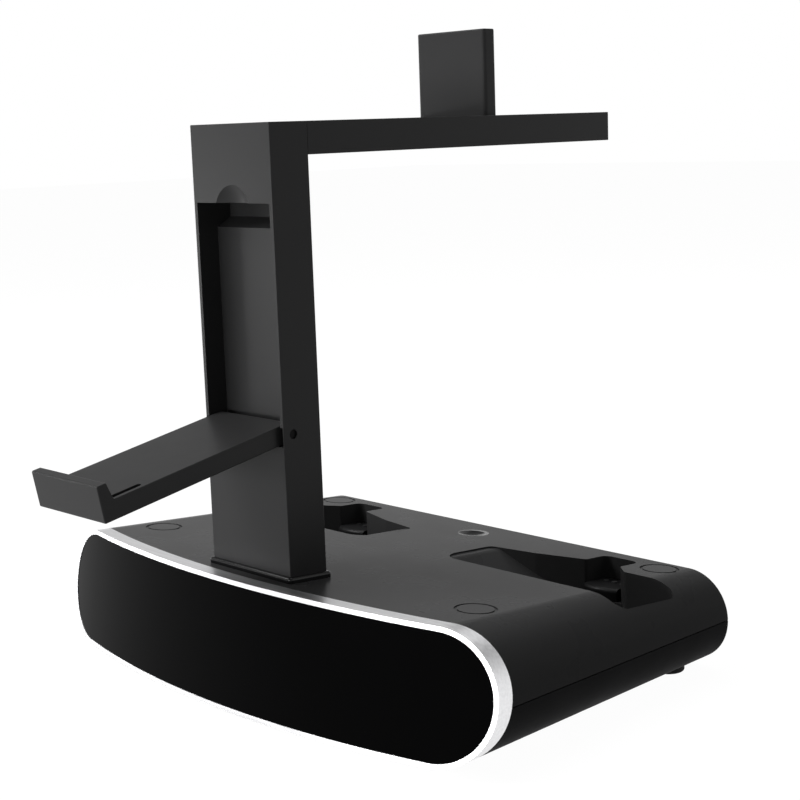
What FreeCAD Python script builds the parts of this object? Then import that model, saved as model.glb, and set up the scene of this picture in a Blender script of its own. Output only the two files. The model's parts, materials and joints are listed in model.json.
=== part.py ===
import FreeCAD, Part
import math
import os

# Charging dock for two game controllers, with a headset stand on top.
# A wedge-shaped base with round ends carries a flat column. The column holds a
# level arm for a headset and a cradle arm that folds up into the column's face.
#
# Frame: millimetres, +Z up, Z = 0 is the table, X = 0 is the middle of the dock
# and -Y is the front, where the dark panel is. Y = 0 is halfway between the tip
# of the open cradle arm and the free end of the headset arm.

Vector = FreeCAD.Vector
across = Vector(1, 0, 0)
back = Vector(0, 1, 0)
up = Vector(0, 0, 1)

# Base body
base_flat_half_width = 99.0
base_rear_y = 82.5
base_height = 46.4
foot_height = 2.6
top_slope = 0.080
shell_wall = 2.4
seam_drop = 24.8
seam_slope = 0.027
seam_gap = 0.4
rear_edge_round = 1.0

# Bowed front that leans back, with its metal band and dark panel
front_apex_y = -67.7
front_bow_radius = 422.0
front_lean = 9.2
trim_depth = 7.0
trim_rim = 1.7
trim_ledge = 1.6
panel_thickness = 2.0
panel_setback = 0.25
panel_clearance = 0.1

# Column and its fold-away recess
column_front_y = -54.5
column_width = 45.0
column_depth = 17.4
column_top_z = 213.3
column_wall = 1.8
column_edge_round = 0.3
recess_depth = 8.75
recess_top_z = 185.3
recess_back_wall = 2.0
lip_pocket_depth = 15.1
lip_pocket_floor_z = 175.9
lip_pocket_rise = 3.6
scoop_radius = 10.1
scoop_depth = 3.1
scoop_drop = 3.7
collar_thickness = 2.3
collar_overhang = 1.4
collar_round = 1.1
seat_thickness = 8.0
seat_margin = 3.5

# Column back: wiring channel and cover
channel_bottom_z = 64.0
channel_top_z = 171.0
channel_ledge = 2.4
cover_thickness = 2.0
cover_clearance = 0.15
cover_screw_inset = 7.0
cover_screw_side_inset = 4.2

# Fold-out cradle arm, in its open position
hinge_setback = 4.6
hinge_z = 103.2
hinge_pin_radius = 1.75
hinge_pin_recess = 0.6
hinge_pin_chamfer = 0.3
hinge_running_clearance = 0.05
hinge_press_clearance = 0.01
fold_tilt = 10.3
fold_thickness = 7.0
fold_pin_rise = 3.1
fold_length = 81.2
fold_side_gap = 0.7
fold_edge_round = 0.4
fold_corner_round = 0.6
fold_lip_root_round = 1.0
fold_heel_share = 0.95
fold_heel_round = 2.9
lip_height = 6.25
lip_top_thickness = 3.8
lip_base_thickness = 5.3
relief_slot_width = 2.4
relief_slot_length = 12.8
relief_slot_depth = 3.0
relief_slot_inset = 1.7
hub_radius = 2.4
hub_side_gap = 0.4
hub_groove_height = 7.0
hub_groove_depth = 1.3
hub_groove_drop = 0.7
hub_groove_back = 1.4
stop_gap = 0.3

# Headset arm and the stop that stands on it
arm_length = 168.8
arm_thickness = 11.75
arm_wall = 2.0
arm_front_wall = 4.0
arm_edge_round = 0.3
arm_tongue_width = 30.0
arm_tongue_height = 5.0
arm_tongue_length = 6.0
tongue_clearance = 0.1
stop_distance = 96.5
stop_width = 37.2
stop_thickness = 6.8
stop_height = 33.6
stop_side_round = 1.5
stop_top_round = 0.6

# Controller cradles
cradle_inner_x = 22.9
cradle_outer_x = 112.0
cradle_front_y = 22.0
cradle_rear_y = 56.4
cradle_inner_rear_y = 51.4
cradle_wall = 1.8
cradle_lead_depth = 0.6
cradle_floor_depth = 17.0
cradle_ramp_start = 27.0
cradle_ramp_angle = 26.0
cradle_ramp_blend = 9.0
cradle_ramp_lip = 6.0
cradle_outer_ramp_share = 0.55
cradle_shoulder_share = 0.5
cradle_shoulder_rise = 0.36
cradle_shoulder_round = 12.0
cradle_inner_front_round = 9.0
cradle_inner_rear_round = 3.0
cradle_outer_front_round = 5.0
cradle_outer_rear_round = 4.5
notch_centre_x = 72.2
notch_width = 16.7
notch_rear_y = 74.6
notch_front_y = 62.4
notch_depth = 14.0
notch_chamfer = 6.6
notch_chamfer_round = 3.0
notch_mouth_round = 1.5
notch_rear_round = 3.5
notch_step = 3.0
contact_top_depth = 9.0
contact_block_clearance = 0.25
contact_block_front_y = 58.2
contact_nose_radius = 18.0
contact_edge_round = 1.6
contact_pin_radius = 0.8
contact_pin_head_radius = 1.1
contact_pin_head = 0.3
contact_pin_pitch = 4.0
contact_pin_y = 69.2
contact_hole_clearance = 0.05
contact_pin_tail = 0.6
contact_board_thickness = 1.2
contact_board_margin = 1.0
contact_board_half_depth = 4.0

# Marks on the top
ring_radius = 7.6
ring_line = 1.1
ring_depth = 0.35
front_ring_x = 90.2
front_ring_y = -29.3
rear_ring_x = 92.2
rear_ring_y = 71.8

# Light button
button_y = 65.4
button_radius = 6.6
button_running_clearance = 0.08
button_travel = 0.6
button_skirt = 1.0
button_flange = 1.2
button_gap = 0.35
button_stem_radius = 2.0
button_dish_depth = 1.1
button_dish_radius = 5.8

# Electronics inside the base
main_board_half_width = 16.0
main_board_front_y = 26.8
main_board_thickness = 1.6
main_board_z = 9.0
standoff_radius = 2.6
standoff_rear_inset = 12.0
main_board_rear_gap = 0.6
inlet_width = 8.9
inlet_height = 3.2
inlet_length = 8.4
inlet_wall = 0.3
inlet_setback = 0.4
inlet_back_wall = 1.0
inlet_tongue_half_width = 3.3
inlet_tongue_half_height = 0.35
inlet_tongue_setback = 1.2
inlet_opening_clearance = 0.35
switch_size = 6.0
switch_height = 4.3
switch_corner_round = 0.5
plunger_radius = 1.7
plunger_height = 1.2
plunger_depth = 1.4
plunger_bore_gap = 0.4
light_board_half_length = 78.0
light_board_y = -57.6
light_board_height = 15.0
light_board_thickness = 1.6
light_board_slot = 2.4
light_board_holder_share = 0.7
light_board_holder_width = 4.0
light_board_holder_height = 4.0
light_board_clearance = 0.05
lamp_count = 8
lamp_pitch = 20.0
lamp_size = 3.5
lamp_depth = 1.4

# Ballast, feet and fasteners
ballast_half_length = 52.0
ballast_front_y = -15.2
ballast_rear_y = 18.8
ballast_thickness = 4.0
foot_radius = 6.5
foot_seat = 0.6
foot_round = 0.8
front_foot_x = 90.0
front_foot_y = -47.2
rear_foot_x = 97.2
rear_foot_y = 69.8
screw_clearance = 0.02
hole_clearance = 0.25
shell_screw_radius = 1.5
shell_screw_head_radius = 2.8
shell_screw_head = 2.2
shell_screw_length = 26.0
shell_boss_radius = 3.6
shell_floor_boss_radius = 4.4
screw_recess_wall = 2.0
boss_sink = 0.4
column_bolt_radius = 2.5
column_bolt_head_radius = 4.2
column_bolt_head = 3.6
column_bolt_spacing = 22.0
column_bolt_grip = 18.0
small_screw_radius = 1.2
small_screw_head_radius = 2.3
small_screw_head = 1.4
small_screw_length = 5.0
small_boss_radius = 2.8
cover_screw_length = 3.5
cover_screw_hole = 3.2
stop_screw_length = 10.0
arm_screw_radius = 2.0
arm_screw_head_radius = 3.3
arm_screw_head = 2.2
arm_screw_length = 15.0
arm_screw_spacing = 18.0
arm_cover_screw_gap = 0.6
arm_cover_screw_front = 12.0
arm_cover_screw_rear = 8.0

# Places worked out from the sizes above
surface_z = foot_height + base_height
column_rear_y = column_front_y + column_depth
column_mid_y = column_front_y + column_depth / 2
half_column = column_width / 2
recess_half_width = half_column - column_wall
hinge_y = column_front_y + hinge_setback
arm_bottom_z = column_top_z - arm_thickness
arm_mid_z = column_top_z - arm_thickness / 2
arm_rear_y = column_rear_y + arm_length
fold_half_width = recess_half_width - fold_side_gap
floor_top_z = foot_height + shell_wall
main_board_top_z = main_board_z + main_board_thickness
far = 400.0
past = 1.0
bite = 1.0
joint_screw_places = [(58.0, 69.6), (103.0, -19.2), (36.0, -29.2)]


def box(x0, x1, y0, y1, z0, z1):
    return Part.makeBox(x1 - x0, y1 - y0, z1 - z0, Vector(x0, y0, z0))


def rod(radius, length, x, y, z, axis=up):
    return Part.makeCylinder(radius, length, Vector(x, y, z), axis)


def mirrored(shape):
    return shape.mirror(Vector(0, 0, 0), Vector(1, 0, 0))


def on_both_sides(shape):
    return [shape, mirrored(shape)]


def both_ways(places):
    return places + [(-x, v) for x, v in places]


def top_z(y, drop=0.0):
    # Height of the sloping top of the base, or of a level that far below it.
    return surface_z - top_slope * (y - column_front_y) - drop


def seam_z(y):
    return surface_z - seam_drop - seam_slope * (y - column_front_y)


def rounded_outline(corners):
    # Closed outline of straight edges with an arc at each (u, v, radius) corner.
    # Returns the edges as pairs or triples of (u, v).
    pieces = []
    starts = []
    count = len(corners)
    for i in range(count):
        u, v, radius = corners[i]
        before = Vector(corners[i - 1][0] - u, corners[i - 1][1] - v, 0)
        after = Vector(corners[(i + 1) % count][0] - u, corners[(i + 1) % count][1] - v, 0)
        before.normalize()
        after.normalize()
        corner = Vector(u, v, 0)
        if radius == 0:
            starts.append((corner, None, corner))
            continue
        half_turn = before.getAngle(after) / 2
        tangent = radius / math.tan(half_turn)
        bisector = before + after
        bisector.normalize()
        middle = corner + bisector * (radius / math.sin(half_turn) - radius)
        starts.append((corner + before * tangent, middle, corner + after * tangent))
    for i in range(count):
        first, middle, last = starts[i]
        if middle is not None:
            pieces.append((first, middle, last))
        pieces.append((last, starts[(i + 1) % count][0]))
    return pieces


def outline_face(corners, place):
    # place turns (u, v) of the outline into a point in space.
    edges = []
    for piece in rounded_outline(corners):
        points = [place(p.x, p.y) for p in piece]
        if len(points) == 3:
            edges.append(Part.Arc(*points).toShape())
        elif points[0].distanceToPoint(points[1]) > 1e-6:
            edges.append(Part.LineSegment(*points).toShape())
    return Part.Face(Part.Wire(edges))


def side_prism(corners, half_width):
    # Outline in Y and Z, as wide as the given half width to each side.
    face = outline_face(corners, lambda u, v: Vector(-half_width, u, v))
    return face.extrude(Vector(2 * half_width, 0, 0))


def above_level(level):
    corners = [(-far, level(-far), 0), (far, level(far), 0), (far, far, 0), (-far, far, 0)]
    return side_prism(corners, far)


def below_level(level):
    corners = [(-far, level(-far), 0), (far, level(far), 0), (far, -far, 0), (-far, -far, 0)]
    return side_prism(corners, far)


def edges_where(shape, test):
    return [edge for edge in shape.Edges if test(edge)]


def straight_along(edge, axis):
    if edge.Curve.TypeId != "Part::GeomLine":
        return False
    return abs(edge.tangentAt(edge.FirstParameter).dot(axis)) > 0.999


def screw(shank_radius, length, head_radius, head_height, point, axis):
    # point is where the head's flat underside sits, axis the way the shank goes.
    shank = Part.makeCylinder(shank_radius, length, point, axis)
    head = Part.makeCylinder(head_radius, head_height, point - axis * head_height, axis)
    return shank.fuse(head).removeSplitter()


def small_screw(length, point, axis):
    return screw(small_screw_radius, length, small_screw_head_radius, small_screw_head, point, axis)


def bowed_face(x0, x1, bow_y, end_y, far_y, z):
    # Level face with one bowed side, through (middle, bow_y) and the ends at
    # end_y, and a straight side opposite at far_y.
    left_end = Vector(x0, end_y, z)
    right_end = Vector(x1, end_y, z)
    right_far = Vector(x1, far_y, z)
    left_far = Vector(x0, far_y, z)
    return Part.Face(Part.Wire([
        Part.Arc(left_end, Vector((x0 + x1) / 2, bow_y, z), right_end).toShape(),
        Part.LineSegment(right_end, right_far).toShape(),
        Part.LineSegment(right_far, left_far).toShape(),
        Part.LineSegment(left_far, left_end).toShape(),
    ]))


def end_section(y, inset):
    # Section of the base across its depth: flat top and bottom, half-round ends.
    top = top_z(y) - inset
    bottom = foot_height + inset
    middle = (top + bottom) / 2
    radius = (top - bottom) / 2
    w = base_flat_half_width
    right = Part.Arc(Vector(w, y, top), Vector(w + radius, y, middle), Vector(w, y, bottom))
    left = Part.Arc(Vector(-w, y, bottom), Vector(-w - radius, y, middle), Vector(-w, y, top))
    return Part.Wire([
        Part.LineSegment(Vector(-w, y, top), Vector(w, y, top)).toShape(),
        right.toShape(),
        Part.LineSegment(Vector(w, y, bottom), Vector(-w, y, bottom)).toShape(),
        left.toShape(),
    ])


def front_cutter(setback):
    # Everything ahead of the bowed and leaning front, moved back by setback.
    lean = math.tan(math.radians(front_lean))
    start_z = 2 * surface_z
    drop = 2 * start_z
    reach = base_flat_half_width + base_height
    sagitta = front_bow_radius - math.sqrt(front_bow_radius ** 2 - reach ** 2)
    y = front_apex_y + setback + (start_z - top_z(front_apex_y)) * lean
    face = bowed_face(-reach, reach, y, y + sagitta, -far, start_z)
    return face.extrude(Vector(0, -lean * drop, -drop))


def base_block(inset, setback, rear_inset=0.0):
    # The base's outer form, made smaller by inset on its top, bottom and ends.
    front = end_section(front_apex_y - base_height, inset)
    rear = end_section(base_rear_y - rear_inset, inset)
    return Part.makeLoft([front, rear], True, True).cut(front_cutter(setback))


def base_outer():
    block = base_block(0.0, trim_depth)
    rear_edges = edges_where(block, lambda e: abs(e.BoundBox.YMin - base_rear_y) < 1e-4)
    return block.makeFillet(rear_edge_round, rear_edges)


def base_inner():
    return base_block(shell_wall, -trim_depth, shell_wall)


def cradle_outline(grow):
    half_notch = notch_width / 2
    inner = notch_centre_x - half_notch
    outer = notch_centre_x + half_notch
    slant = notch_front_y - cradle_inner_rear_y
    shoulder_x = cradle_inner_x + cradle_shoulder_share * (inner - cradle_inner_x)
    shoulder_y = cradle_inner_rear_y + cradle_shoulder_rise * slant
    corners = [
        (cradle_inner_x, cradle_front_y, cradle_inner_front_round),
        (cradle_outer_x, cradle_front_y, cradle_outer_front_round),
        (cradle_outer_x, cradle_rear_y, cradle_outer_rear_round),
        (outer + notch_chamfer, cradle_rear_y, notch_chamfer_round),
        (outer, notch_front_y, notch_mouth_round),
        (outer, notch_rear_y, notch_rear_round),
        (inner, notch_rear_y, notch_rear_round),
        (inner, notch_front_y, notch_mouth_round),
        (shoulder_x, shoulder_y, cradle_shoulder_round),
        (cradle_inner_x, cradle_inner_rear_y, cradle_inner_rear_round),
    ]
    face = outline_face(corners, lambda u, v: Vector(u, v, 0))
    if grow > 0:
        face = face.makeOffset2D(grow, 0, False, False, False)
    return face


def cradle_void(grow):
    # Hollow of the right cradle: a ramp at each end, a flat floor, and a notch
    # behind the floor. With grow it is the outside of the cradle's thin wall.
    column = cradle_outline(grow).extrude(Vector(0, 0, far))
    ramp = math.tan(math.radians(cradle_ramp_angle))
    run = (cradle_floor_depth - cradle_lead_depth) / ramp
    start_y = column_front_y
    z = surface_z - grow
    reach = 2 * far
    outer_foot = cradle_outer_x - cradle_outer_ramp_share * run
    outer_head = outer_foot + run

    def place(u, v):
        return Vector(u, start_y, z - v)

    corners = [
        (0, -far, 0),
        (0, cradle_lead_depth, 0),
        (cradle_ramp_start, cradle_lead_depth, cradle_ramp_lip),
        (cradle_ramp_start + run, cradle_floor_depth, cradle_ramp_blend),
        (outer_foot, cradle_floor_depth, cradle_ramp_blend),
        (outer_head, cradle_lead_depth, 0),
        (outer_head, -far, 0),
    ]
    bowl = outline_face(corners, place).extrude(Vector(0, reach, -reach * top_slope))
    main = column.common(bowl)
    behind = box(0, far, notch_front_y - notch_step - grow, far, 0, far)
    shallow = below_level(lambda y: top_z(y, notch_depth + grow))
    return main.cut(behind.common(shallow))


def ring_mark(x, y):
    middle = Vector(x, y, top_z(y))
    normal = Vector(0, top_slope, 1)
    normal.normalize()
    base = middle - normal * ring_depth
    outer = Part.makeCylinder(ring_radius, ring_radius, base, normal)
    inner = Part.makeCylinder(ring_radius - ring_line, ring_radius, base, normal)
    return outer.cut(inner)


def shell_boss_places():
    return both_ways(joint_screw_places)


def column_bolt_places():
    half = column_bolt_spacing / 2
    return both_ways([(half, column_mid_y)])


def contact_pin_places():
    places = []
    for step in (-1, 0, 1):
        places.append((notch_centre_x + step * contact_pin_pitch, contact_pin_y))
    return places


def base_upper_shell():
    upper_half = above_level(lambda y: seam_z(y) + seam_gap)
    shell = base_outer().common(upper_half).cut(base_inner())
    envelope = base_block(boss_sink, trim_depth, shell_wall).common(upper_half)
    seat = side_prism([
        (column_front_y - seat_margin, top_z(column_front_y - seat_margin, seat_thickness), 0),
        (column_rear_y + seat_margin, top_z(column_rear_y + seat_margin, seat_thickness), 0),
        (column_rear_y + seat_margin, far, 0),
        (column_front_y - seat_margin, far, 0),
    ], half_column + seat_margin)
    added = [seat.common(envelope)]
    for well in on_both_sides(cradle_void(cradle_wall)):
        added.append(well.common(envelope))
    for x, y in shell_boss_places():
        boss = rod(shell_boss_radius, far, x, y, 0)
        added.append(boss.common(above_level(seam_z)).common(base_block(boss_sink, trim_depth)))
    shell = shell.fuse(added)

    cuts = on_both_sides(cradle_void(0.0))
    cuts.append(rod(button_radius + button_running_clearance, far, 0, button_y, 0))
    for x, y in shell_boss_places():
        cuts.append(rod(shell_screw_radius + screw_clearance, shell_screw_length, x, y, floor_top_z))
    for x, y in column_bolt_places():
        cuts.append(rod(column_bolt_radius + hole_clearance, far, x, y, 0))
    for x, y in contact_pin_places():
        hole = rod(contact_pin_radius + contact_hole_clearance, far, x, y, 0)
        cuts += on_both_sides(hole)
    for x, y in ((front_ring_x, front_ring_y), (rear_ring_x, rear_ring_y)):
        cuts += on_both_sides(ring_mark(x, y))
    return shell.cut(cuts).removeSplitter()


def inlet_form(grow, length, y):
    # Flat tube section with round ends, along Y.
    half_height = inlet_height / 2 + grow
    half_width = inlet_width / 2 + grow
    z = main_board_top_z + inlet_height / 2
    corner = 0.999 * half_height
    corners = [
        (-half_width, z - half_height, corner),
        (half_width, z - half_height, corner),
        (half_width, z + half_height, corner),
        (-half_width, z + half_height, corner),
    ]
    return outline_face(corners, lambda u, v: Vector(u, y, v)).extrude(Vector(0, length, 0))


def foot_places():
    return both_ways([(front_foot_x, front_foot_y), (rear_foot_x, rear_foot_y)])


def standoff_places():
    x = main_board_half_width - standoff_radius
    rear_y = base_rear_y - shell_wall - standoff_rear_inset
    return both_ways([(x, main_board_front_y + standoff_radius), (x, rear_y)])


def base_lower_shell():
    lower_half = below_level(seam_z)
    shell = base_outer().common(lower_half).cut(base_inner())
    inside = base_block(boss_sink, trim_depth, shell_wall).common(lower_half)
    added = []
    for x, y in shell_boss_places():
        added.append(rod(shell_floor_boss_radius, far, x, y, 0).common(inside))
    for x, y in standoff_places():
        added.append(rod(standoff_radius, main_board_z - foot_height - bite, x, y, foot_height + bite))
    holder_x = light_board_holder_share * light_board_half_length
    holder = box(holder_x, holder_x + light_board_holder_width, light_board_y - light_board_slot,
                 light_board_y + light_board_thickness + light_board_slot, foot_height + bite,
                 floor_top_z + light_board_holder_height)
    added += on_both_sides(holder)
    shell = shell.fuse(added)

    cuts = []
    for x, y in shell_boss_places():
        cuts.append(rod(shell_screw_radius + hole_clearance, far, x, y, 0))
        recess_top = seam_z(y) - screw_recess_wall
        cuts.append(rod(shell_screw_head_radius + hole_clearance, recess_top, x, y, 0))
    for x, y in foot_places():
        cuts.append(rod(foot_radius + hole_clearance, foot_height + foot_seat, x, y, 0))
    for x, y in standoff_places():
        cuts.append(rod(small_screw_radius + screw_clearance, main_board_z, x, y, floor_top_z))
    cuts.append(inlet_form(inlet_opening_clearance, 3 * shell_wall, base_rear_y - 2 * shell_wall))
    clear = light_board_clearance
    cuts.append(box(-light_board_half_length, light_board_half_length, light_board_y - clear,
                    light_board_y + light_board_thickness + clear, floor_top_z, far))
    return shell.cut(cuts).removeSplitter()


def front_trim_ring():
    ring = base_block(0.0, 0.0).common(front_cutter(trim_depth))
    window = base_block(trim_rim, -trim_depth).common(front_cutter(panel_setback + panel_thickness))
    through = base_block(trim_rim + trim_ledge, -trim_depth)
    return ring.cut(window).cut(through)


def front_panel():
    block = base_block(trim_rim + panel_clearance, panel_setback)
    return block.common(front_cutter(panel_setback + panel_thickness))


def column_foot_level(y):
    return top_z(y, -collar_thickness)


def column_collar():
    x = half_column + collar_overhang
    y0 = column_front_y - collar_overhang
    y1 = column_rear_y + collar_overhang
    slab = side_prism([
        (y0, top_z(y0), 0),
        (y1, top_z(y1), 0),
        (y1, column_foot_level(y1), 0),
        (y0, column_foot_level(y0), 0),
    ], x)
    upright = edges_where(slab, lambda e: straight_along(e, up))
    slab = slab.makeFillet(collar_overhang, upright)
    rim = edges_where(slab, lambda e: e.CenterOfMass.z > top_z(e.CenterOfMass.y, -0.9 * collar_thickness))
    slab = slab.makeFillet(collar_round, rim)
    for bolt_x, bolt_y in column_bolt_places():
        slab = slab.cut(rod(column_bolt_radius + hole_clearance, far, bolt_x, bolt_y, 0))
    return slab


def recess_void():
    # Face recess that takes the folded arm, with the deep pocket for its lip.
    tilt = math.tan(math.radians(fold_tilt))
    slack = fold_pin_rise / math.cos(math.radians(fold_tilt)) + stop_gap
    floor_y = column_front_y + recess_depth
    lip_y = column_front_y + lip_pocket_depth
    front_y = column_front_y - past
    sill_z = hinge_z - slack
    corners = [
        (front_y, sill_z - (hinge_y - front_y) * tilt, 0),
        (floor_y, sill_z + (floor_y - hinge_y) * tilt, 0),
        (floor_y, lip_pocket_floor_z, 0),
        (lip_y, lip_pocket_floor_z + lip_pocket_rise, 0),
        (lip_y, recess_top_z, 0),
        (front_y, recess_top_z, 0),
    ]
    return side_prism(corners, recess_half_width)


def finger_scoop():
    ball = (scoop_radius ** 2 + scoop_depth ** 2) / (2 * scoop_depth)
    centre = Vector(0, column_front_y + scoop_depth - ball, recess_top_z - scoop_drop)
    return Part.makeSphere(ball, centre)


def cover_screw_places():
    x = recess_half_width - cover_screw_side_inset
    low = channel_bottom_z + cover_screw_inset
    high = channel_top_z - cover_screw_inset
    return both_ways([(x, low), (x, high)])


def arm_screw_places():
    half = arm_screw_spacing / 2
    return both_ways([(half, arm_mid_z)])


def column_shell():
    body = box(-half_column, half_column, column_front_y, column_rear_y, 0, column_top_z)
    body = body.makeFillet(column_edge_round, edges_where(body, lambda e: e.BoundBox.ZMax > past))
    body = body.common(above_level(column_foot_level))
    cuts = [recess_void(), finger_scoop()]
    groove_z = hinge_z - hub_groove_drop
    groove_half = hub_groove_height / 2
    groove = box(recess_half_width, recess_half_width + hub_groove_depth, column_front_y - past,
                 hinge_y + hub_radius + hub_groove_back, groove_z - groove_half, groove_z + groove_half)
    cuts += on_both_sides(groove)
    pin_hole = hinge_pin_radius + hinge_press_clearance
    cuts.append(rod(pin_hole, column_width, -half_column, hinge_y, hinge_z, across))
    channel_front = column_front_y + recess_depth + recess_back_wall
    ledge_y = column_rear_y - cover_thickness
    channel = box(-recess_half_width, recess_half_width, channel_front, ledge_y,
                  channel_bottom_z + channel_ledge, channel_top_z - channel_ledge)
    for x, z in cover_screw_places():
        channel = channel.cut(rod(small_boss_radius, far, x, channel_front, z, back))
    cuts.append(channel)
    cuts.append(box(-recess_half_width, recess_half_width, ledge_y, column_rear_y + past, channel_bottom_z,
                    channel_top_z))
    for x, z in cover_screw_places():
        cuts.append(rod(small_screw_radius + screw_clearance, far, x, ledge_y - cover_screw_hole, z, back))
    for x, y in column_bolt_places():
        hole_top = column_foot_level(y) + column_bolt_grip - seat_thickness - collar_thickness + past
        cuts.append(rod(column_bolt_radius + screw_clearance, hole_top, x, y, 0))
    for x, z in arm_screw_places():
        depth = arm_screw_length - arm_front_wall + past / 2
        cuts.append(rod(arm_screw_radius + screw_clearance, depth, x, column_rear_y - depth, z, back))
    half_tongue = arm_tongue_width / 2 + tongue_clearance
    tongue_z = arm_tongue_height / 2 + tongue_clearance
    tongue_y = column_rear_y - arm_tongue_length - tongue_clearance
    cuts.append(box(-half_tongue, half_tongue, tongue_y, column_rear_y, arm_mid_z - tongue_z,
                    arm_mid_z + tongue_z))
    return body.cut(cuts).removeSplitter()


def column_rear_cover():
    x = recess_half_width - cover_clearance
    plate = box(-x, x, column_rear_y - cover_thickness, column_rear_y, channel_bottom_z + cover_clearance,
                channel_top_z - cover_clearance)
    for hole_x, z in cover_screw_places():
        start = column_rear_y - cover_thickness
        plate = plate.cut(rod(small_screw_radius + hole_clearance, far, hole_x, start, z, back))
        sink = column_rear_y - small_screw_head
        plate = plate.cut(rod(small_screw_head_radius + hole_clearance, far, hole_x, sink, z, back))
    return plate


def fold_corners():
    # Side outline of the cradle arm, along the arm (u) and square to it (v), with
    # the hinge pin at its origin.
    top = fold_thickness - fold_pin_rise
    lip_top = top + lip_height
    return [
        (-fold_pin_rise, -fold_pin_rise, fold_heel_share * fold_pin_rise),
        (fold_length, -fold_pin_rise, fold_corner_round),
        (fold_length, lip_top, fold_corner_round),
        (fold_length - lip_top_thickness, lip_top, fold_corner_round),
        (fold_length - lip_base_thickness, top, fold_lip_root_round),
        (-fold_pin_rise, top, fold_heel_round),
    ]


def in_fold_frame(shape):
    # From the arm's own frame (arm along -Y, level) to its open position.
    turned = shape.copy()
    turned.rotate(Vector(0, 0, 0), Vector(1, 0, 0), fold_tilt)
    turned.translate(Vector(0, hinge_y, hinge_z))
    return turned


def fold_arm():
    face = outline_face(fold_corners(), lambda u, v: Vector(-fold_half_width, -u, v))
    arm = face.extrude(Vector(2 * fold_half_width, 0, 0))
    side_edges = edges_where(arm, lambda e: abs(abs(e.CenterOfMass.x) - fold_half_width) < 1e-4)
    arm = arm.makeFillet(fold_edge_round, side_edges)
    hub_end = recess_half_width + hub_groove_depth - hub_side_gap
    hub = rod(hub_radius, 2 * hub_end, -hub_end, 0, 0, across)
    arm = arm.fuse(hub)
    slot_start = fold_length - lip_base_thickness
    slot_x = fold_half_width - relief_slot_inset - relief_slot_width
    top = fold_thickness - fold_pin_rise
    slot_end = relief_slot_length - relief_slot_width / 2 - slot_start
    slot = box(slot_x, slot_x + relief_slot_width, -slot_start, slot_end, top - relief_slot_depth, top + past)
    slot_round = rod(relief_slot_width / 2, relief_slot_depth + past, slot_x + relief_slot_width / 2, slot_end,
                     top - relief_slot_depth)
    bore = rod(hinge_pin_radius + hinge_running_clearance, far, -far / 2, 0, 0, across)
    return in_fold_frame(arm.cut([slot.fuse(slot_round), bore]).removeSplitter())


def hinge_pin():
    reach = half_column - hinge_pin_recess
    pin = rod(hinge_pin_radius, 2 * reach, -reach, hinge_y, hinge_z, across)
    return pin.makeChamfer(hinge_pin_chamfer, edges_where(pin, lambda e: e.Closed))


def stop_screw_places():
    y = column_rear_y + stop_distance + stop_thickness / 2
    return both_ways([(stop_width / 4, y)])


def arm_cover_screw_places():
    x = half_column - arm_wall - small_boss_radius - arm_cover_screw_gap
    front = column_rear_y + arm_front_wall + arm_cover_screw_front
    rear = arm_rear_y - arm_wall - arm_cover_screw_rear
    return both_ways([(x, front), (x, rear)])


def headset_arm():
    body = box(-half_column, half_column, column_rear_y, arm_rear_y, arm_bottom_z, column_top_z)
    edges = edges_where(body, lambda e: e.BoundBox.YMax > column_rear_y + past)
    body = body.makeFillet(arm_edge_round, edges)
    cavity_top = column_top_z - arm_wall
    cavity = box(-half_column + arm_wall, half_column - arm_wall, column_rear_y + arm_front_wall,
                 arm_rear_y - arm_wall, arm_bottom_z - past, cavity_top)
    cover_z = arm_bottom_z + cover_thickness
    for x, y in arm_cover_screw_places():
        cavity = cavity.cut(rod(small_boss_radius, cavity_top - cover_z, x, y, cover_z))
    body = body.cut(cavity)
    half = arm_tongue_width / 2
    tongue = box(-half, half, column_rear_y - arm_tongue_length, column_rear_y + bite,
                 arm_mid_z - arm_tongue_height / 2, arm_mid_z + arm_tongue_height / 2)
    body = body.fuse(tongue)
    cuts = []
    for x, z in arm_screw_places():
        start = column_rear_y - arm_tongue_length - past
        reach = arm_tongue_length + arm_front_wall + 2 * past
        cuts.append(rod(arm_screw_radius + hole_clearance, reach, x, start, z, back))
    for x, y in stop_screw_places():
        cuts.append(rod(small_screw_radius + hole_clearance, far, x, y, arm_bottom_z))
    for x, y in arm_cover_screw_places():
        depth = small_screw_head + cover_screw_length + past
        cuts.append(rod(small_screw_radius + screw_clearance, depth, x, y, arm_bottom_z))
    return body.cut(cuts).removeSplitter()


def arm_underside_cover():
    x = half_column - arm_wall - cover_clearance
    front = column_rear_y + arm_front_wall + cover_clearance
    rear = arm_rear_y - arm_wall - cover_clearance
    plate = box(-x, x, front, rear, arm_bottom_z, arm_bottom_z + cover_thickness)
    start = arm_bottom_z - past
    for hole_x, y in arm_cover_screw_places():
        plate = plate.cut(rod(small_screw_radius + hole_clearance, far, hole_x, y, start))
        sink = rod(small_screw_head_radius + hole_clearance, small_screw_head + past, hole_x, y, start)
        plate = plate.cut(sink)
    return plate


def headset_stop():
    y = column_rear_y + stop_distance
    half = stop_width / 2
    plate = box(-half, half, y, y + stop_thickness, column_top_z, column_top_z + stop_height)
    plate = plate.makeFillet(stop_side_round, edges_where(plate, lambda e: straight_along(e, up)))
    top = column_top_z + stop_height
    plate = plate.makeFillet(stop_top_round, edges_where(plate, lambda e: e.BoundBox.ZMin > top - 1e-3))
    for x, hole_y in stop_screw_places():
        hole = rod(small_screw_radius + screw_clearance, stop_screw_length, x, hole_y, column_top_z - past)
        plate = plate.cut(hole)
    return plate


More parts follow.
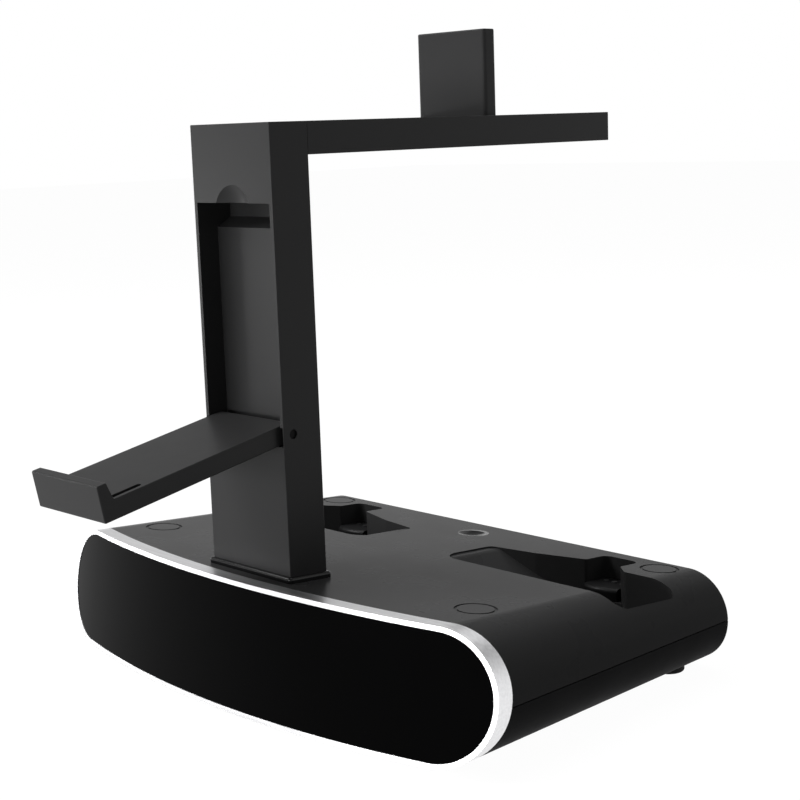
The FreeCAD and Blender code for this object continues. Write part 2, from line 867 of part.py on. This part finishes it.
def light_button():
    under = button_y + button_radius
    flange_top = top_z(under, shell_wall + button_gap)
    cap = rod(button_radius, surface_z, 0, button_y, flange_top - button_flange)
    flange = rod(button_radius + button_skirt, button_flange, 0, button_y, flange_top - button_flange)
    stem_bottom = main_board_top_z + switch_height + plunger_height
    stem = rod(button_stem_radius, flange_top - stem_bottom, 0, button_y, stem_bottom)
    button = cap.fuse([flange, stem]).cut(above_level(top_z))
    ball = (button_dish_radius ** 2 + button_dish_depth ** 2) / (2 * button_dish_depth)
    dish = Part.makeSphere(ball, Vector(0, button_y, top_z(button_y) + ball - button_dish_depth))
    return button.cut(dish).removeSplitter()


def main_board():
    rear_y = base_rear_y - shell_wall - main_board_rear_gap
    board = box(-main_board_half_width, main_board_half_width, main_board_front_y, rear_y, main_board_z,
                main_board_top_z)
    for x, y in standoff_places():
        board = board.cut(rod(small_screw_radius + hole_clearance, far, x, y, 0))
    return board


def power_inlet():
    y = base_rear_y - inlet_setback - inlet_length
    tube = inlet_form(0.0, inlet_length, y).cut(inlet_form(-inlet_wall, inlet_length, y + inlet_back_wall))
    z = main_board_top_z + inlet_height / 2
    half = inlet_tongue_half_width
    tongue = box(-half, half, y + inlet_back_wall / 2, y + inlet_length - inlet_tongue_setback,
                 z - inlet_tongue_half_height, z + inlet_tongue_half_height)
    return tube.fuse(tongue).removeSplitter()


def light_switch():
    z = main_board_top_z
    half = switch_size / 2
    case = box(-half, half, button_y - half, button_y + half, z, z + switch_height)
    case = case.makeFillet(switch_corner_round, edges_where(case, lambda e: straight_along(e, up)))
    bore_z = z + switch_height - plunger_depth - button_travel - plunger_bore_gap
    return case.cut(rod(plunger_radius + button_running_clearance, far, 0, button_y, bore_z))


def switch_plunger():
    length = plunger_height + plunger_depth
    return rod(plunger_radius, length, 0, button_y, main_board_top_z + switch_height - plunger_depth)


def light_board():
    return box(-light_board_half_length, light_board_half_length, light_board_y,
               light_board_y + light_board_thickness, floor_top_z, floor_top_z + light_board_height)


def panel_lamps():
    lamps = []
    z = floor_top_z + light_board_height / 2
    half = lamp_size / 2
    for i in range(lamp_count):
        x = (i - (lamp_count - 1) / 2) * lamp_pitch
        lamps.append(box(x - half, x + half, light_board_y - lamp_depth, light_board_y, z - half, z + half))
    return Part.makeCompound(lamps)


def ballast_plate():
    return box(-ballast_half_length, ballast_half_length, ballast_front_y, ballast_rear_y, floor_top_z,
               floor_top_z + ballast_thickness)


def contact_block():
    clear = contact_block_clearance
    half = notch_width / 2 - clear
    x0 = notch_centre_x - half
    x1 = notch_centre_x + half
    rear = notch_rear_y - clear
    lower = above_level(lambda y: top_z(y, notch_depth))
    upper = below_level(lambda y: top_z(y, contact_top_depth))
    sagitta = contact_nose_radius - math.sqrt(contact_nose_radius ** 2 - half ** 2)
    front = contact_block_front_y
    block = bowed_face(x0, x1, front, front + sagitta, rear, 0).extrude(Vector(0, 0, far))
    block = block.common(lower).common(upper)
    corners = edges_where(block, lambda e: straight_along(e, up) and e.CenterOfMass.y > rear - past)
    block = block.makeFillet(notch_rear_round - clear, corners)
    low = contact_top_depth + contact_edge_round / 2
    nose = edges_where(block, lambda e: e.CenterOfMass.y < front + sagitta
                       and e.CenterOfMass.z > top_z(e.CenterOfMass.y, low))
    block = block.makeFillet(contact_edge_round, nose)
    for x, y in contact_pin_places():
        block = block.cut(rod(contact_pin_radius + contact_hole_clearance, far, x, y, 0))
    return block


def contact_pins():
    pins = []
    bottom = top_z(contact_pin_y, notch_depth + cradle_wall + contact_board_thickness + contact_pin_tail)
    seat = top_z(contact_pin_y - contact_pin_head_radius, contact_top_depth)
    for x, y in contact_pin_places():
        pin = rod(contact_pin_radius, seat - bottom, x, y, bottom)
        head = rod(contact_pin_head_radius, contact_pin_head, x, y, seat)
        pins.append(pin.fuse(head).removeSplitter())
    return Part.makeCompound(pins)


def contact_board():
    top = notch_depth + cradle_wall
    under = above_level(lambda y: top_z(y, top + contact_board_thickness))
    slab = below_level(lambda y: top_z(y, top)).common(under)
    half = notch_width / 2 - contact_board_margin
    board = box(notch_centre_x - half, notch_centre_x + half, contact_pin_y - contact_board_half_depth,
                contact_pin_y + contact_board_half_depth, 0, far)
    board = board.common(slab)
    for x, y in contact_pin_places():
        board = board.cut(rod(contact_pin_radius + contact_hole_clearance, far, x, y, 0))
    return board


def rubber_feet():
    feet = []
    for x, y in foot_places():
        foot = rod(foot_radius, foot_height + foot_seat, x, y, 0)
        feet.append(foot.makeFillet(foot_round, edges_where(foot, lambda e: e.BoundBox.ZMax < foot_round)))
    return Part.makeCompound(feet)


def shell_screws():
    screws = []
    for x, y in shell_boss_places():
        seat = seam_z(y) - screw_recess_wall
        length = floor_top_z + shell_screw_length - seat - past
        screws.append(screw(shell_screw_radius, length, shell_screw_head_radius, shell_screw_head,
                            Vector(x, y, seat), up))
    return Part.makeCompound(screws)


def board_screws():
    screws = []
    for x, y in standoff_places():
        screws.append(small_screw(small_screw_length, Vector(x, y, main_board_top_z), -up))
    return Part.makeCompound(screws)


def column_bolts():
    bolts = []
    for x, y in column_bolt_places():
        seat = top_z(y + column_bolt_head_radius, seat_thickness)
        bolts.append(screw(column_bolt_radius, column_bolt_grip, column_bolt_head_radius, column_bolt_head,
                           Vector(x, y, seat), up))
    return Part.makeCompound(bolts)


def column_cover_screws():
    screws = []
    for x, z in cover_screw_places():
        screws.append(small_screw(cover_screw_length, Vector(x, column_rear_y - small_screw_head, z), -back))
    return Part.makeCompound(screws)


def arm_screws():
    screws = []
    for x, z in arm_screw_places():
        screws.append(screw(arm_screw_radius, arm_screw_length, arm_screw_head_radius, arm_screw_head,
                            Vector(x, column_rear_y + arm_front_wall, z), -back))
    return Part.makeCompound(screws)


def stop_screws():
    screws = []
    for x, y in stop_screw_places():
        screws.append(small_screw(stop_screw_length, Vector(x, y, column_top_z - arm_wall), up))
    return Part.makeCompound(screws)


def arm_cover_screws():
    screws = []
    for x, y in arm_cover_screw_places():
        screws.append(small_screw(cover_screw_length, Vector(x, y, arm_bottom_z + small_screw_head), up))
    return Part.makeCompound(screws)


nodes = {
    "base_upper_shell": base_upper_shell,
    "base_lower_shell": base_lower_shell,
    "front_trim_ring": front_trim_ring,
    "front_panel": front_panel,
    "light_board": light_board,
    "panel_lamps": panel_lamps,
    "main_board": main_board,
    "power_inlet": power_inlet,
    "light_switch": light_switch,
    "switch_plunger": switch_plunger,
    "light_button": light_button,
    "ballast_plate": ballast_plate,
    "rubber_feet": rubber_feet,
    "shell_screws": shell_screws,
    "board_screws": board_screws,
    "column_collar": column_collar,
    "column_shell": column_shell,
    "column_rear_cover": column_rear_cover,
    "column_bolts": column_bolts,
    "column_cover_screws": column_cover_screws,
    "fold_arm": fold_arm,
    "hinge_pin": hinge_pin,
    "headset_arm": headset_arm,
    "arm_underside_cover": arm_underside_cover,
    "arm_screws": arm_screws,
    "arm_cover_screws": arm_cover_screws,
    "headset_stop": headset_stop,
    "stop_screws": stop_screws,
}

mirrored_nodes = {
    "contact_block": contact_block,
    "contact_pins": contact_pins,
    "contact_board": contact_board,
}

os.makedirs("parts", exist_ok=True)
for name, make in nodes.items():
    make().exportStep(f"parts/{name}.step")
for name, make in mirrored_nodes.items():
    shape = make()
    shape.exportStep(f"parts/right_{name}.step")
    mirrored(shape).exportStep(f"parts/left_{name}.step")
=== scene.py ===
import json
import math
import bpy
import bmesh
from mathutils import Euler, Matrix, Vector

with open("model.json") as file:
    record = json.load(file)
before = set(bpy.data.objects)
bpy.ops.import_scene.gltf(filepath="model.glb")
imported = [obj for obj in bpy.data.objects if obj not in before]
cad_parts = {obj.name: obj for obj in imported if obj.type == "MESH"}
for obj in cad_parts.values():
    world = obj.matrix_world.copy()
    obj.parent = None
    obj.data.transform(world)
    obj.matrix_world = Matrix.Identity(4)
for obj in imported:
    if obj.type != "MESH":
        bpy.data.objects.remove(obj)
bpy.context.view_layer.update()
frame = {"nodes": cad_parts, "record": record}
nodes = frame["nodes"]
print("frame loaded:", len(nodes), "nodes")


# camera: solved from the column, the arm and the base's edges
camera = {
    "place": (0.44763, -0.40482, 0.20951), "turn": (80.20987, 1.99221, 45.82114),
    "lens": 70.85, "sensor": 36.0,
}


def makeCamera(values):
    data = bpy.data.cameras.new("shotCamera")
    data.lens = values["lens"]
    data.sensor_width = values["sensor"]
    cam = bpy.data.objects.new("shotCamera", data)
    cam.location = values["place"]
    cam.rotation_euler = Euler([math.radians(a) for a in values["turn"]], "XYZ")
    bpy.context.scene.collection.objects.link(cam)
    bpy.context.scene.camera = cam


makeCamera(camera)
print("camera set")


# shared effects: fineness and detail of the grain and of the cloudiness, and the range of noise in a mask
mouldGrain = {"size": 2200.0, "detail": 2.0, "cloudSize": 55.0, "cloudDetail": 3.0}
maskRange = (0.35, 0.65)


def newGroup(name, inputs, outputs):
    # an empty node group with the sockets given, and its two end nodes
    group = bpy.data.node_groups.new(name, "ShaderNodeTree")
    for label, kind, value in inputs:
        socket = group.interface.new_socket(name=label, in_out="INPUT", socket_type=kind)
        socket.default_value = value
    for label, kind in outputs:
        group.interface.new_socket(name=label, in_out="OUTPUT", socket_type=kind)
    entry = group.nodes.new("NodeGroupInput")
    leave = group.nodes.new("NodeGroupOutput")
    return group, entry, leave


def makeMouldGrain(values):
    # fine spark-eroded grain of moulded plastic: height for a bump, and a mask of slow cloudiness
    group, entry, leave = newGroup(
        "mouldGrain",
        [
            ("Size", "NodeSocketFloat", values["size"]),
            ("Cloud Size", "NodeSocketFloat", values["cloudSize"]),
        ],
        [("Height", "NodeSocketFloat"), ("Cloud", "NodeSocketFloat")],
    )
    n, link = group.nodes, group.links
    coord = n.new("ShaderNodeTexCoord")
    fine = n.new("ShaderNodeTexNoise")
    fine.inputs["Detail"].default_value = values["detail"]
    slow = n.new("ShaderNodeTexNoise")
    slow.inputs["Detail"].default_value = values["cloudDetail"]
    link.new(coord.outputs["Object"], fine.inputs["Vector"])
    link.new(coord.outputs["Object"], slow.inputs["Vector"])
    link.new(entry.outputs["Size"], fine.inputs["Scale"])
    link.new(entry.outputs["Cloud Size"], slow.inputs["Scale"])
    link.new(fine.outputs["Fac"], leave.inputs["Height"])
    link.new(slow.outputs["Fac"], leave.inputs["Cloud"])
    return group


def rangeMix(tree, source, low, high):
    # a noise mask turned into a value between low and high
    node = tree.nodes.new("ShaderNodeMapRange")
    node.inputs["From Min"].default_value, node.inputs["From Max"].default_value = maskRange
    node.inputs["To Min"].default_value = low
    node.inputs["To Max"].default_value = high
    tree.links.new(source, node.inputs["Value"])
    return node.outputs["Result"]


def newMaterial(name):
    material = bpy.data.materials.new(name)
    material.use_nodes = True
    tree = material.node_tree
    return material, tree, tree.nodes["Principled BSDF"]


def greyTone(value):
    return (value, value, value, 1.0)


def colourMix(tree, source, dark, light):
    # a mask turned into a colour between dark and light
    mix = tree.nodes.new("ShaderNodeMix")
    mix.data_type = "RGBA"
    mix.inputs["A"].default_value = (*dark, 1.0)
    mix.inputs["B"].default_value = (*light, 1.0)
    tree.links.new(source, mix.inputs["Factor"])
    return mix.outputs["Result"]


def addBump(tree, bsdf, height, strength, distance):
    bump = tree.nodes.new("ShaderNodeBump")
    bump.inputs["Strength"].default_value = strength
    bump.inputs["Distance"].default_value = distance
    tree.links.new(height, bump.inputs["Height"])
    tree.links.new(bump.outputs["Normal"], bsdf.inputs["Normal"])


grainGroup = makeMouldGrain(mouldGrain)

# plastics: colours, roughness, depth and fineness of the mould's grain, and strength of the mirror reflection
plainGrain = {"grain": 0.15, "grainSize": mouldGrain["size"], "level": 0.14}
plasticBump = 0.0001  # metres
plastics = {
    "shellPlastic": {
        "dark": (0.029, 0.029, 0.0295), "light": (0.031, 0.031, 0.0315), "rough": (0.35, 0.39),
        "grain": 0.06, "level": 0.12,
    },
    # a lit copy of the shell plastic for the base's top: its colour is painted lighter, painted light falling
    # on the top face
    "litDeckPlastic": {
        "dark": (0.039, 0.039, 0.0395), "light": (0.041, 0.041, 0.0415), "rough": (0.27, 0.29),
        "grain": 0.02, "level": 0.015,
    },
    # a shaded copy of the shell plastic for the base's lower shell: its colour is painted darker, painted
    # shade on the underside
    "shadedLowerPlastic": {
        "dark": (0.014, 0.014, 0.0145), "light": (0.016, 0.016, 0.0165), "rough": (0.58, 0.64),
        "level": 0.02,
    },
    "collarPlastic": {
        "dark": (0.008, 0.008, 0.0085), "light": (0.010, 0.010, 0.0105), "rough": (0.10, 0.13),
        "level": 0.25,
    },
    "panelPlastic": {
        "dark": (0.0009, 0.0009, 0.0010), "light": (0.0013, 0.0013, 0.0014), "rough": (0.02, 0.04),
        "grain": 0.0, "level": 0.02,
    },
    "contactPlastic": {
        "dark": (0.010, 0.010, 0.0105), "light": (0.013, 0.013, 0.0135), "rough": (0.30, 0.40),
    },
    "buttonPlastic": {
        "dark": (0.010, 0.010, 0.0105), "light": (0.012, 0.012, 0.0125), "rough": (0.14, 0.18),
        "level": 0.2,
    },
    "footRubber": {
        "dark": (0.008, 0.008, 0.008), "light": (0.014, 0.014, 0.014), "rough": (0.7, 0.85),
        "grain": 0.4, "grainSize": 900.0,
    },
    "boardPlastic": {"dark": (0.01, 0.07, 0.03), "light": (0.015, 0.10, 0.04), "rough": (0.35, 0.5)},
    "lampPlastic": {"dark": (0.75, 0.75, 0.70), "light": (0.85, 0.85, 0.80), "rough": (0.3, 0.4)},
}


def plastic(name, values):
    material, tree, bsdf = newMaterial(name)
    effect = tree.nodes.new("ShaderNodeGroup")
    effect.node_tree = grainGroup
    effect.inputs["Size"].default_value = values["grainSize"]
    cloud = effect.outputs["Cloud"]
    tree.links.new(colourMix(tree, cloud, values["dark"], values["light"]), bsdf.inputs["Base Color"])
    tree.links.new(rangeMix(tree, cloud, *values["rough"]), bsdf.inputs["Roughness"])
    addBump(tree, bsdf, effect.outputs["Height"], values["grain"], plasticBump)
    bsdf.inputs["Specular IOR Level"].default_value = values["level"]
    return material


# metals: colours, roughness, depth and fineness of the brush's streaks, and the way they are drawn out
plainBrush = {"stretch": (1.0, 1.0, 1.0), "size": 400.0, "grain": 0.1}
metalBump = 0.00005  # metres
streakDetail = 3.0
metals = {
    "trimMetal": {
        "dark": (0.66, 0.66, 0.67), "light": (0.97, 0.97, 0.98), "rough": (0.32, 0.44),
        "stretch": (0.02, 1.0, 1.0), "size": 900.0, "grain": 0.12,
    },
    "darkSteel": {"dark": (0.12, 0.12, 0.125), "light": (0.18, 0.18, 0.185), "rough": (0.35, 0.45)},
    "pinSteel": {"dark": (0.004, 0.004, 0.004), "light": (0.008, 0.008, 0.008), "rough": (0.35, 0.5)},
    "darkNickel": {"dark": (0.17, 0.17, 0.175), "light": (0.23, 0.23, 0.235), "rough": (0.3, 0.4)},
}


def metal(name, values):
    material, tree, bsdf = newMaterial(name)
    coord = tree.nodes.new("ShaderNodeTexCoord")
    place = tree.nodes.new("ShaderNodeMapping")
    place.inputs["Scale"].default_value = values["stretch"]
    noise = tree.nodes.new("ShaderNodeTexNoise")
    noise.inputs["Scale"].default_value = values["size"]
    noise.inputs["Detail"].default_value = streakDetail
    tree.links.new(coord.outputs["Object"], place.inputs["Vector"])
    tree.links.new(place.outputs["Vector"], noise.inputs["Vector"])
    streak = noise.outputs["Fac"]
    tree.links.new(colourMix(tree, streak, values["dark"], values["light"]), bsdf.inputs["Base Color"])
    tree.links.new(rangeMix(tree, streak, *values["rough"]), bsdf.inputs["Roughness"])
    addBump(tree, bsdf, streak, values["grain"], metalBump)
    bsdf.inputs["Metallic"].default_value = 1.0
    return material


finishes = {name: plastic(name, {**plainGrain, **values}) for name, values in plastics.items()}
finishes.update({name: metal(name, {**plainBrush, **values}) for name, values in metals.items()})

# the finish of each slot of the record
slotFinish = {
    "shell_plastic": "shellPlastic", "collar_plastic": "collarPlastic", "panel_plastic": "panelPlastic",
    "contact_plastic": "contactPlastic", "switch_plastic": "contactPlastic",
    "button_plastic": "buttonPlastic", "foot_rubber": "footRubber",
    "circuit_board": "boardPlastic", "lamp_plastic": "lampPlastic",
    "trim_metal": "trimMetal", "screw_steel": "darkSteel", "ballast_steel": "darkSteel",
    "inlet_steel": "darkSteel", "pin_steel": "pinSteel", "contact_metal": "darkNickel",
}
# the base's top is smoother than the column and its colour is painted lighter, painted light on the top face,
# and its lower shell is duller and painted darker, painted shade on the underside
nodeFinish = {"base_upper_shell": "litDeckPlastic", "base_lower_shell": "shadedLowerPlastic"}


def dressNodes(subparts):
    for part in subparts:
        finish = nodeFinish.get(part["node"], slotFinish[part["material_slot"]])
        slots = nodes[part["node"]].data.materials
        slots.clear()
        slots.append(finishes[finish])


dressNodes(frame["record"]["subparts"])
print("materials set")


# floor, backdrop and lights
studio = {
    "floorReach": 6.0, "floorGrey": 0.22, "floorRough": 0.9, "floorLevel": 0.1,
    "floorGlow": 0.975, "floorShade": 0.06,
    "around": 0.11, "backdropEdge": (0.20, 0.32), "aboveBackdrop": 0.26, "aim": (0.0, 0.0, 0.1),
    "lamps": {  # watts and metres
        "topLamp": {"power": 11.0, "size": 1.2, "place": (-0.2, 0.3, 1.6)},
        "leftLamp": {"power": 15.5, "size": 0.8, "place": (-0.7, -0.7, 1.1)},
        "frontStrip": {"power": 5.5, "size": 0.8, "tall": 0.12, "place": (0.0, -1.2, 0.07)},
        "leftStrip": {"power": 2.4, "size": 0.6, "tall": 0.12, "place": (-1.1, -0.45, 0.07)},
        "backLamp": {"power": 1.2, "size": 0.9, "place": (-0.3, 1.3, 0.9)},
        "rightLamp": {"power": 1.2, "size": 0.9, "place": (1.0, 0.9, 0.8)},
    },
}


def backgroundRays(tree):
    # 1 for the rays that show the background: camera, glossy and transmission rays
    path = tree.nodes.new("ShaderNodeLightPath")
    seen = tree.nodes.new("ShaderNodeMath")
    seen.operation = "ADD"
    tree.links.new(path.outputs["Is Camera Ray"], seen.inputs[0])
    tree.links.new(path.outputs["Is Glossy Ray"], seen.inputs[1])
    total = tree.nodes.new("ShaderNodeMath")
    total.operation = "ADD"
    total.use_clamp = True
    tree.links.new(seen.outputs["Value"], total.inputs[0])
    tree.links.new(path.outputs["Is Transmission Ray"], total.inputs[1])
    return total.outputs["Value"]


def floorMaterial(values):
    # white where it is seen or mirrored, with the object's shadow kept, and grey in the light it throws back
    material, tree, bsdf = newMaterial("paleFloor")
    bsdf.inputs["Base Color"].default_value = greyTone(values["floorGrey"])
    bsdf.inputs["Roughness"].default_value = values["floorRough"]
    bsdf.inputs["Specular IOR Level"].default_value = values["floorLevel"]
    bright = tree.nodes.new("ShaderNodeEmission")
    bright.inputs["Strength"].default_value = values["floorGlow"]
    shade = tree.nodes.new("ShaderNodeBsdfDiffuse")
    shade.inputs["Color"].default_value = greyTone(values["floorShade"])
    both = tree.nodes.new("ShaderNodeAddShader")
    mixer = tree.nodes.new("ShaderNodeMixShader")
    tree.links.new(bright.outputs["Emission"], both.inputs[0])
    tree.links.new(shade.outputs["BSDF"], both.inputs[1])
    tree.links.new(backgroundRays(tree), mixer.inputs["Fac"])
    tree.links.new(bsdf.outputs["BSDF"], mixer.inputs[1])
    tree.links.new(both.outputs["Shader"], mixer.inputs[2])
    tree.links.new(mixer.outputs["Shader"], tree.nodes["Material Output"].inputs["Surface"])
    return material


def makeFloor(values):
    bm = bmesh.new()
    bmesh.ops.create_grid(bm, x_segments=1, y_segments=1, size=values["floorReach"])
    mesh = bpy.data.meshes.new("floor")
    bm.to_mesh(mesh)
    bm.free()
    floor = bpy.data.objects.new("floor", mesh)
    mesh.materials.append(floorMaterial(values))
    bpy.context.scene.collection.objects.link(floor)


def makeLamp(name, values, aim):
    # a soft rectangular lamp turned to the object
    data = bpy.data.lights.new(name, "AREA")
    data.energy = values["power"]
    data.shape = "RECTANGLE"
    data.size = values["size"]
    data.size_y = values.get("tall", values["size"])
    lamp = bpy.data.objects.new(name, data)
    lamp.location = values["place"]
    lamp.rotation_euler = (Vector(aim) - Vector(values["place"])).to_track_quat("-Z", "Y").to_euler()
    bpy.context.scene.collection.objects.link(lamp)


def makeWorld(values):
    # soft light all round, and a white backdrop with a greyer room above it where it is seen
    world = bpy.data.worlds.new("studioWorld")
    bpy.context.scene.world = world
    world.use_nodes = True
    tree = world.node_tree
    soft = tree.nodes["Background"]
    soft.inputs["Color"].default_value = greyTone(1.0)
    soft.inputs["Strength"].default_value = values["around"]
    white = tree.nodes.new("ShaderNodeBackground")
    white.inputs["Color"].default_value = greyTone(1.0)
    coord = tree.nodes.new("ShaderNodeTexCoord")
    split = tree.nodes.new("ShaderNodeSeparateXYZ")
    edge = tree.nodes.new("ShaderNodeMapRange")
    edge.inputs["From Min"].default_value, edge.inputs["From Max"].default_value = values["backdropEdge"]
    edge.inputs["To Min"].default_value = 1.0
    edge.inputs["To Max"].default_value = values["aboveBackdrop"]
    tree.links.new(coord.outputs["Generated"], split.inputs["Vector"])
    tree.links.new(split.outputs["Z"], edge.inputs["Value"])
    tree.links.new(edge.outputs["Result"], white.inputs["Strength"])
    mixer = tree.nodes.new("ShaderNodeMixShader")
    tree.links.new(backgroundRays(tree), mixer.inputs["Fac"])
    tree.links.new(soft.outputs["Background"], mixer.inputs[1])
    tree.links.new(white.outputs["Background"], mixer.inputs[2])
    tree.links.new(mixer.outputs["Shader"], tree.nodes["World Output"].inputs["Surface"])


makeWorld(studio)
makeFloor(studio)
for lampName, lampValues in studio["lamps"].items():
    makeLamp(lampName, lampValues, studio["aim"])
bpy.context.scene.view_settings.view_transform = "Standard"
print("studio set")
